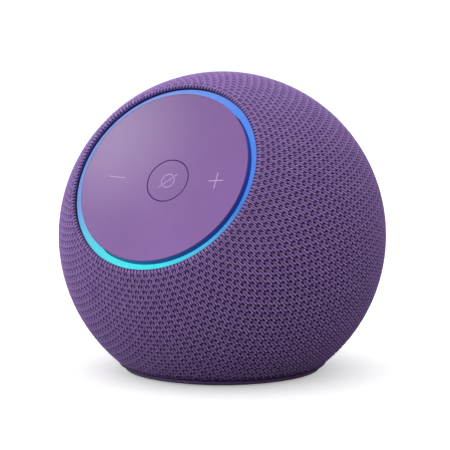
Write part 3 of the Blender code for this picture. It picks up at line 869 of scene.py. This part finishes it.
def button_profile():
    """The button's face, its side and the flange that holds it."""
    face = dish_run(0.0, BUTTON_R - 0.1, 14)
    side = [(BUTTON_R, dish(BUTTON_R) - 0.1), (BUTTON_R, FLANGE_TOP + 0.1),
            (FLANGE_R, FLANGE_TOP), (FLANGE_R, FLANGE_FOOT), (0.0, FLANGE_FOOT)]
    return face + side


button = lathe("mute_cap", button_profile(), segments=128)
print("seam round the button:", round(SEAM_R - BUTTON_R, 2), "mm")

# %% [markdown]
# The signs are printed: strokes of pale ink that lie on the hollow face.  Each stroke is a
# narrow ribbon that follows the dish a hair above it, so it needs no picture.

# %% A printed stroke
STROKE = 0.36               # mm wide
THIN_STROKE = 0.28
MUTE_STROKE = 0.30
INK = 0.03                  # mm thick


def stroke(path, width=STROKE):
    """A ribbon of ink along a path of (x, y) points on the panel: points and faces."""
    path = np.array(path, float)
    along = np.gradient(path, axis=0)
    along /= np.linalg.norm(along, axis=1)[:, None]
    side = np.stack([-along[:, 1], along[:, 0]], axis=1) * width / 2
    points, faces = [], []
    for here, off in zip(path, side):
        for x, y, lift in ((*(here - off), -INK), (*(here - off * 0.86), INK),
                           (*(here + off * 0.86), INK), (*(here + off), -INK)):
            points.append((x, y, dish(math.hypot(x, y)) + lift))
    last = (len(path) - 1) * 4
    for start in range(0, last, 4):
        for k in range(4):
            j = (k + 1) % 4
            faces.append((start + k, start + 4 + k, start + 4 + j, start + j))
    faces.append((0, 1, 2, 3))
    faces.append((last, last + 1, last + 2, last + 3))
    return points, faces


print("strokes:", STROKE, THIN_STROKE, MUTE_STROKE, "mm wide")


# %% The volume signs
MARK_X = 18.0               # mm from the panel's middle
ARM = 2.75
GAP = 0.25                  # the plus sign's upright stops short of its bar


def line(start, end, steps=14):
    """Even points on a straight line, close enough together to follow the hollow."""
    return np.linspace(start, end, steps)


def sign(name, strokes):
    """Join several strokes into one printed piece."""
    points, faces = [], []
    for more_points, more_faces in strokes:
        base = len(points)
        points += more_points
        faces += [tuple(v + base for v in face) for face in more_faces]
    return mesh_object(name, points, faces, PANEL_FRAME, smooth=False)


minus_sign = sign("sign_minus", [
    stroke(line((-MARK_X - ARM, 0), (-MARK_X + ARM, 0)), THIN_STROKE)])
plus_sign = sign("sign_plus", [
    stroke(line((MARK_X - ARM, 0), (MARK_X + ARM, 0))),
    stroke(line((MARK_X, GAP), (MARK_X, ARM))),
    stroke(line((MARK_X, -ARM), (MARK_X, -GAP))),
])
print("volume signs:", minus_sign.name, "and", plus_sign.name)

# %% The mute sign
CIRCLE_R = 2.25
BAR_HALF = 3.7
BAR_TILT = math.radians(41.0)
BREAK = math.radians(13.0)  # the circle stops this far from the bar


def mute_strokes():
    """A small circle with a bar across it, broken where they would touch."""
    end = np.array([math.cos(BAR_TILT), math.sin(BAR_TILT)]) * BAR_HALF
    strokes = [stroke(line(-end, end, 24), MUTE_STROKE)]
    for start in (BAR_TILT, BAR_TILT + math.pi):
        turns = np.linspace(start + BREAK, start + math.pi - BREAK, 24)
        path = np.stack([CIRCLE_R * np.cos(turns), CIRCLE_R * np.sin(turns)], axis=1)
        strokes.append(stroke(path, MUTE_STROKE))
    return strokes


mute_sign = sign("sign_mute", mute_strokes())
print("mute sign:", mute_sign.name)

# %% [markdown]
# The panel and the button are soft-touch plastic.  A broad, dull highlight comes from a middle
# roughness, and a grain far finer than on the shell keeps it from looking wet.  The panel's side
# wall faces the ring of light, and that blue light is painted into its colour.

# %% Satin plastic
# painted light: the ring's blue glow, painted on the panel's side wall
PAINTED_RING_BLUE = srgb(34, 58, 156)


def paint_ring_light_on_wall(tree, tone):
    """Painted ring light: blue on the panel's side wall, fading out towards the rim."""
    offset = tree.vector("SUBTRACT", tree.add("ShaderNodeTexCoord").outputs["Object"],
                         tuple(CENTRE))
    from_axis = tree.vector("LENGTH", tree.vector("CROSS_PRODUCT", offset, tuple(AXIS)))
    wall = tree.span(from_axis, (PANEL_R - 0.16) * MM, (PANEL_R - 0.02) * MM)
    height = tree.vector("DOT_PRODUCT", offset, tuple(AXIS))
    deep = tree.span(height, (PANEL_RIM - 1.0) * MM, (PANEL_RIM - 0.3) * MM, 1.0, 0.0)
    return tree.mix(tree.math("MULTIPLY", wall, deep), tone, PAINTED_RING_BLUE)


def satin(name):
    """Soft-touch plastic: a broad sheen with a very fine grain, and painted ring light on the side wall."""
    made, tree, shader = principled(name, Specular_IOR_Level=0.55)
    grained = tree.group(GRAIN, Scale=2600.0, Depth=1.0)
    dusty = tree.group(DUST, Amount=0.03, Scale=900.0)
    tone = tree.mix(tree.span(grained.outputs["Tone"], 0.3, 0.7), srgb(103, 57, 131),
                    srgb(109, 62, 138))
    # paints the ring's blue light on the side wall
    tone = paint_ring_light_on_wall(tree, tone)
    tree.wire(tree.mix(dusty.outputs["Mask"], tone, srgb(190, 180, 200)),
              shader.inputs["Base Color"])
    tree.wire(tree.span(grained.outputs["Height"], 0.3, 0.7, 0.36, 0.44),
              shader.inputs["Roughness"])
    bump = tree.add("ShaderNodeBump")
    bump.inputs["Strength"].default_value = 0.12
    bump.inputs["Distance"].default_value = 0.00002
    tree.wire(grained.outputs["Height"], bump.inputs["Height"])
    tree.wire(bump.outputs[0], shader.inputs["Normal"])
    return made


panel_satin = satin("panel_satin_finish")
print("finish:", panel_satin.name)


# %% Ink
def ink():
    """Pale printing ink, a little uneven."""
    made, tree, shader = principled("sign_ink", Specular_IOR_Level=0.4)
    grained = tree.group(GRAIN, Scale=3000.0, Depth=1.0)
    tree.wire(tree.mix(tree.span(grained.outputs["Height"], 0.3, 0.7), srgb(166, 138, 182),
                       srgb(180, 154, 196)), shader.inputs["Base Color"])
    tree.wire(tree.span(grained.outputs["Height"], 0.3, 0.7, 0.45, 0.6),
              shader.inputs["Roughness"])
    return made


ink_print = ink()
print("finish:", ink_print.name)

# %% [markdown]
# The panel rocks and the button slides, so each piece is told which body it rides on.  A sign
# goes with the surface it is printed on.

# %% The panel's and the button's places
for piece, body, node, slot_name, look in (
        (panel, "panel", "control_panel", "panel_satin", panel_satin),
        (button, "button", "mute_button", "button_satin", panel_satin),
        (minus_sign, "panel", None, "panel_satin", ink_print),
        (plus_sign, "panel", None, "panel_satin", ink_print),
        (mute_sign, "button", None, "button_satin", ink_print)):
    dress(piece, look)
    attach(piece, body)
    if node:
        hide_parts(node)
    print(piece.name, "rides on", body)

# %% [markdown]
# ## The ring of light
# A frosted ring sits low in the gap between the panel and the knit, lit from below.  Its
# colour runs from blue to cyan round the ring, so the glow is worked out from the direction
# of each point about the panel's axis.

# %% The diffuser ring
RING_IN, RING_OUT = 29.45, 31.6
RING_FOOT, RING_TOP = 37.0, 41.85
ring_section = [(RING_IN, RING_FOOT), (RING_OUT, RING_FOOT), (RING_OUT, RING_TOP),
                (RING_IN, RING_TOP)]
ring = lathe("glow_ring", rounded(ring_section, 0.35, 5), segments=256)
print("the ring stands", round(RING_IN - PANEL_R, 2), "mm off the panel")

# %% The glow
# direction round the ring in degrees, and its colour
GLOW = [
    (0, (70, 136, 236)), (40, (84, 142, 248)), (80, (110, 156, 243)), (110, (138, 162, 240)),
    (140, (138, 168, 236)), (180, (126, 160, 228)), (205, (118, 170, 236)),
    (222, (108, 208, 241)), (242, (84, 234, 244)), (262, (68, 248, 250)),
    (285, (66, 234, 244)), (305, (72, 204, 234)), (322, (76, 172, 232)),
    (342, (62, 132, 216)), (360, (70, 136, 236)),
]


def glow_material():
    """A frosted diffuser that shows the lamps' colours, a little mottled."""
    made, tree, shader = principled("ring_glow", Roughness=0.6, Emission_Strength=0.92,
                                    Specular_IOR_Level=0.15)
    shader.inputs["Base Color"].default_value = srgb(14, 26, 50)
    where = tree.add("ShaderNodeTexCoord").outputs["Object"]
    offset = tree.vector("SUBTRACT", where, tuple(CENTRE))
    right = tree.vector("DOT_PRODUCT", offset, tuple(ACROSS))
    up = tree.vector("DOT_PRODUCT", offset, tuple(UPWARD))
    angle = tree.math("ARCTAN2", up, right)
    part = tree.math("WRAP", tree.math("DIVIDE", angle, math.tau), 1.0, 0.0)
    ramp = tree.add("ShaderNodeValToRGB")
    stops = ramp.color_ramp.elements
    while len(stops) < len(GLOW):
        stops.new(0.5)
    for stop, (turn, colour) in zip(stops, GLOW):
        stop.position = turn / 360.0
        stop.color = srgb(*colour)
    tree.wire(part, ramp.inputs[0])
    mottle = tree.group(GRAIN, Scale=500.0, Depth=1.0)
    even = tree.span(mottle.outputs["Height"], 0.3, 0.7, 0.0, 0.10)
    tree.wire(tree.mix(even, ramp.outputs[0], srgb(20, 60, 150)),
              shader.inputs["Emission Color"])
    return made


dress(ring, glow_material())
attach(ring, "speaker")
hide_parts("light_ring")
print("glow:", len(GLOW), "colours round the ring")

# %% [markdown]
# ## The base and the inlet
# A smooth trim ring closes the knit at the table.  Its section is small, but it catches a thin
# line of light, so its corners are rounded.

# %% The trim ring
trim = lathe("smooth_trim", rounded([(31.6, 0.65), (32.55, 0.65), (32.9, 1.3), (32.7, 1.9),
                                     (31.6, 1.9)], 0.3, 4), WORLD_FRAME, 192)
dress(trim, finish("trim_finish", srgb(84, 60, 116), srgb(120, 98, 150), 0.5, grain=1600.0,
                   depth=0.1))
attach(trim, "speaker")
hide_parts("base_trim")
print("trim:", len(trim.data.polygons), "faces")

# %% [markdown]
# At the back a bezel stands round the recess for the plug.  It is turned flat, and then its
# front edge is brought down on to the ball's curve, as a moulded bezel would be.

# %% The inlet's bezel
INLET_FRAME = Matrix.Translation((0, 0, INLET_Z * MM)) @ Matrix.Rotation(-math.pi / 2, 4, "X")
BEZEL_FACE = 60.0           # mm along the inlet's axis, before it meets the ball
BEZEL_DEEP = 45.0           # the recess, below this, stays where it is
BEZEL_SUNK = 0.25           # mm that it lies below the knit


def hug_ball(points):
    """Bring the bezel's front face down on to the ball."""
    rise = CENTRE.z / MM - INLET_Z
    below = -points[:, 1]
    ball = BALL_R - BEZEL_SUNK
    limit = np.sqrt(np.maximum(ball ** 2 - points[:, 0] ** 2 - (rise - below) ** 2, 0.0))
    outer = points[:, 2] > BEZEL_DEEP
    points[:, 2] = np.where(outer, limit - (BEZEL_FACE - points[:, 2]), points[:, 2])
    return points


bezel = lathe("inlet_surround",
              [(3.5, 36.6), (8.4, 36.6), (8.4, 59.5), (8.2, 59.9), (8.0, 60.0), (6.0, 60.0),
               (5.7, 59.8), (5.5, 59.4), (5.5, 40.2), (5.3, 40.0), (3.6, 40.0), (3.5, 39.9)],
              INLET_FRAME, 96, hug_ball)
dress(bezel, finish("bezel_finish", srgb(46, 34, 66), srgb(90, 74, 112), 0.5, grain=1400.0,
                    depth=0.15))
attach(bezel, "speaker")
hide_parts("inlet_bezel")
print("bezel:", len(bezel.data.polygons), "faces")

# %% [markdown]
# ## Everything inside
# The inner pieces keep their solids and only need their finishes: pressed steel, sintered
# ferrite, paper, rubber, moulded plastic.  One table gives each slot its colour, its worn
# colour, its roughness, how metallic it is and how fine its grain is.

# %% Finishes for the inner pieces
INNER = {
    # slot: (colour, worn colour, roughness, metallic, grain)
    "housing_plastic": ((48, 48, 52), (92, 92, 96), 0.60, 0.0, 1200.0),
    "base_plastic": ((54, 42, 74), (96, 84, 116), 0.55, 0.0, 1200.0),
    "foot_rubber": ((34, 34, 36), (60, 60, 62), 0.85, 0.0, 1500.0),
    "inner_plastic": ((62, 62, 66), (104, 104, 108), 0.65, 0.0, 1100.0),
    "white_plastic": ((228, 228, 222), (244, 244, 240), 0.50, 0.0, 1000.0),
    "steel_plate": ((160, 162, 166), (204, 206, 210), 0.36, 1.0, 700.0),
    "screw_steel": ((140, 142, 146), (200, 202, 206), 0.32, 1.0, 900.0),
    "aluminium_fin": ((196, 198, 204), (226, 228, 232), 0.34, 1.0, 800.0),
    "shield_tin": ((184, 186, 190), (220, 222, 226), 0.30, 1.0, 800.0),
    "magnet_ferrite": ((66, 66, 70), (104, 104, 108), 0.55, 0.0, 1000.0),
    "coil_copper": ((196, 122, 76), (226, 160, 116), 0.36, 1.0, 1400.0),
    "cone_paper": ((46, 46, 48), (82, 82, 84), 0.82, 0.0, 500.0),
    "surround_rubber": ((36, 36, 38), (60, 60, 62), 0.62, 0.0, 1300.0),
    "spider_cloth": ((188, 150, 98), (208, 176, 130), 0.90, 0.0, 600.0),
    "dome_silk": ((50, 48, 54), (84, 82, 88), 0.72, 0.0, 900.0),
    "circuit_board": ((22, 82, 62), (60, 120, 96), 0.42, 0.0, 600.0),
    "chip_epoxy": ((36, 36, 38), (70, 70, 72), 0.45, 0.0, 1200.0),
    "switch_plastic": ((44, 44, 46), (84, 84, 86), 0.50, 0.0, 1100.0),
    "plunger_plastic": ((196, 96, 72), (220, 140, 120), 0.45, 0.0, 1100.0),
    "flex_film": ((172, 120, 48), (200, 156, 90), 0.35, 0.0, 900.0),
    "wire_pvc": ((180, 44, 40), (206, 92, 86), 0.45, 0.0, 1100.0),
    "contact_brass": ((214, 180, 120), (236, 212, 164), 0.26, 1.0, 900.0),
}


def inner_finishes():
    """One finish for each slot of the table."""
    made = {}
    for slot_name, (colour, worn, rough, metallic, grain) in INNER.items():
        made[slot_name] = finish(slot_name + "_finish", srgb(*colour), srgb(*worn), rough,
                                 metallic, grain)
    return made


inner_looks = inner_finishes()
print("finishes:", len(inner_looks))

# %% Dress the inner pieces
slot_of = {part["node"]: part["material_slot"] for part in frame["record"]["subparts"]}
dressed = 0
for node_name, obj in frame["nodes"].items():
    look = inner_looks.get(slot_of[node_name])
    if look and not obj.hide_render:
        for index in range(len(obj.material_slots)):
            obj.material_slots[index].material = look
        dressed += 1
print("inner pieces dressed:", dressed)

# %% [markdown]
# The woofer hangs in a spider, a ring of corrugated cloth between the basket and the coil.  The
# cone slides 2.5 mm each way, so the ring is split where it would fold: its outer waves stay
# with the basket, and its inner collar travels with the coil.

# %% The woofer's spider
def corrugated(name, inner, outer, middle, wave=2.6, depth=0.42, thick=0.28):
    """A ring of moulded cloth with round waves from its inner to its outer edge."""
    radii = np.linspace(inner, outer, int((outer - inner) * 8))
    height = middle + depth * np.sin(math.tau * (radii - inner) / wave)
    top = list(zip(radii, height + thick / 2))
    under = list(zip(radii, height - thick / 2))
    return lathe(name, top + under[::-1], WORLD_FRAME, 128)


spider_waves = corrugated("spider_waves", 14.3, 22.0, 25.6)
spider_collar = corrugated("spider_collar", 10.75, 13.9, 25.0, depth=0.25)
for piece, body in ((spider_waves, "speaker"), (spider_collar, "woofer_motor")):
    dress(piece, inner_looks["spider_cloth"])
    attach(piece, body)
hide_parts("woofer_spider")
print("spider:", spider_waves.name, "and", spider_collar.name)

# %% [markdown]
# ## Floor, light and camera
# The product stands on a white sweep, which is lit so well that it keeps only a faint shadow.
# The camera sees it white, but it sends less light back up than a white floor would, so the
# ball's lower side stays dark.

# %% The floor
FLOOR_HALF = 3.0            # metres
FLOOR_WHITE = (0.96, 0.96, 0.96, 1.0)
FLOOR_BOUNCE = (0.32, 0.32, 0.32, 1.0)      # what the ball gets back from it
FLOOR_LIFT = 0.37                           # a lit sweep, so its shadows stay pale


def build_floor():
    """A wide square at the table's height."""
    corners = [(-1, -1), (1, -1), (1, 1), (-1, 1)]
    mesh = bpy.data.meshes.new("floor")
    mesh.from_pydata([(x * FLOOR_HALF, y * FLOOR_HALF, 0) for x, y in corners], [],
                     [(0, 1, 2, 3)])
    floor = bpy.data.objects.new("floor", mesh)
    bpy.context.scene.collection.objects.link(floor)
    made, tree, shader = principled("floor_white", Roughness=0.9, Specular_IOR_Level=0.0)
    direct = tree.add("ShaderNodeLightPath").outputs["Is Camera Ray"]
    tree.wire(tree.mix(direct, FLOOR_BOUNCE, FLOOR_WHITE), shader.inputs["Base Color"])
    shader.inputs["Emission Color"].default_value = (1.0, 1.0, 1.0, 1.0)
    tree.wire(tree.math("MULTIPLY", direct, FLOOR_LIFT), shader.inputs["Emission Strength"])
    dress(floor, made)
    return floor


floor = build_floor()
print("floor:", FLOOR_HALF * 2, "m wide")

# %% [markdown]
# The light comes from the upper left, so the ball turns darker towards its lower right.  Three
# broad lamps share the work: a key from above, a low fill for the left side, and a front lamp
# that only shows as the sheen on the panel.  None of them lights the floor.

# %% Lamps
LIGHT_FROM = Vector((-0.38, -0.25, 0.89)).normalized()


def keep_off(light, obj):
    """Light everything but one object, so it takes no hard shadow from this lamp."""
    lit = bpy.data.collections.new(f"{light.name}_receivers")
    lit.objects.link(obj)
    lit.collection_objects[0].light_linking.link_state = "EXCLUDE"
    light.light_linking.receiver_collection = lit


def sun(name, direction, power, spread):
    """A broad, soft light that is the same all over the product."""
    data = bpy.data.lights.new(name, "SUN")
    data.energy = power
    data.angle = math.radians(spread)
    obj = bpy.data.objects.new(name, data)
    bpy.context.scene.collection.objects.link(obj)
    obj.rotation_euler = direction.to_track_quat("Z", "Y").to_euler()
    return obj


key = sun("key_upper_left", LIGHT_FROM, 0.8, 40.0)
keep_off(key, floor)
key.visible_glossy = False
sheen = sun("sheen_front_left", Vector((-0.17, -0.76, 0.62)), 1.8, 30.0)
sheen.visible_diffuse = False
keep_off(sheen, floor)
fill = sun("fill_left", Vector((-0.64, -0.70, 0.02)), 1.40, 70.0)
fill.visible_glossy = False
keep_off(fill, floor)
print("lamps:", key.name, sheen.name, fill.name)

# %% [markdown]
# The rest of the light is the sky: a slope of white, brighter towards the light than away from
# it.  The camera itself sees plain white behind the product.

# %% The sky
SKY_MEAN = 0.71
SKY_SWING = 0.62            # brighter towards the light than away from it
SKY_SEEN = 1.1              # what the camera sees


def build_sky():
    """White behind the product; a soft slope of light for everything it lights."""
    world = bpy.data.worlds.new("studio")
    bpy.context.scene.world = world
    world.use_nodes = True
    sky = Tree(world.node_tree)
    background = world.node_tree.nodes["Background"]
    background.inputs["Color"].default_value = (1.0, 1.0, 1.0, 1.0)
    towards = sky.vector("DOT_PRODUCT", sky.add("ShaderNodeTexCoord").outputs["Generated"],
                         tuple(LIGHT_FROM))
    slope = sky.math("MULTIPLY_ADD", towards, SKY_SWING, SKY_MEAN)
    seen = sky.add("ShaderNodeLightPath").outputs["Is Camera Ray"]
    sky.wire(sky.math("MAXIMUM", sky.math("MULTIPLY", seen, SKY_SEEN), slope),
             background.inputs["Strength"])


build_sky()
print("sky:", round(SKY_MEAN - SKY_SWING, 2), "to", round(SKY_MEAN + SKY_SWING, 2))

# %% [markdown]
# The camera stands half a metre away, a little above the ball's middle and to the right of the
# way the panel faces.  A long lens keeps the ball round.

# %% The camera
VIEW_TURN = math.radians(29.62)
VIEW_RISE = math.radians(5.84)
VIEW_FAR = 0.500            # metres from the ball's centre
LENS = 120.0
AIM_RIGHT, AIM_UP = 0.00086, 0.00332        # metres from the ball's centre


def build_camera():
    """A camera that looks just past the ball's centre."""
    right = Vector((math.cos(VIEW_TURN), math.sin(VIEW_TURN), 0.0))
    up = Vector((-math.sin(VIEW_TURN) * math.sin(VIEW_RISE),
                 math.cos(VIEW_TURN) * math.sin(VIEW_RISE), math.cos(VIEW_RISE)))
    back = right.cross(up)
    data = bpy.data.cameras.new("camera")
    data.lens = LENS
    data.sensor_width = 36.0
    data.clip_start = 0.01
    camera = bpy.data.objects.new("camera", data)
    bpy.context.scene.collection.objects.link(camera)
    camera.location = CENTRE + back * VIEW_FAR
    aim = CENTRE + right * AIM_RIGHT + up * AIM_UP
    camera.rotation_euler = (aim - camera.location).to_track_quat("-Z", "Y").to_euler()
    bpy.context.scene.camera = camera
    return camera


camera = build_camera()
bpy.context.scene.view_settings.view_transform = "Standard"
print("camera at", [round(v, 3) for v in camera.location])
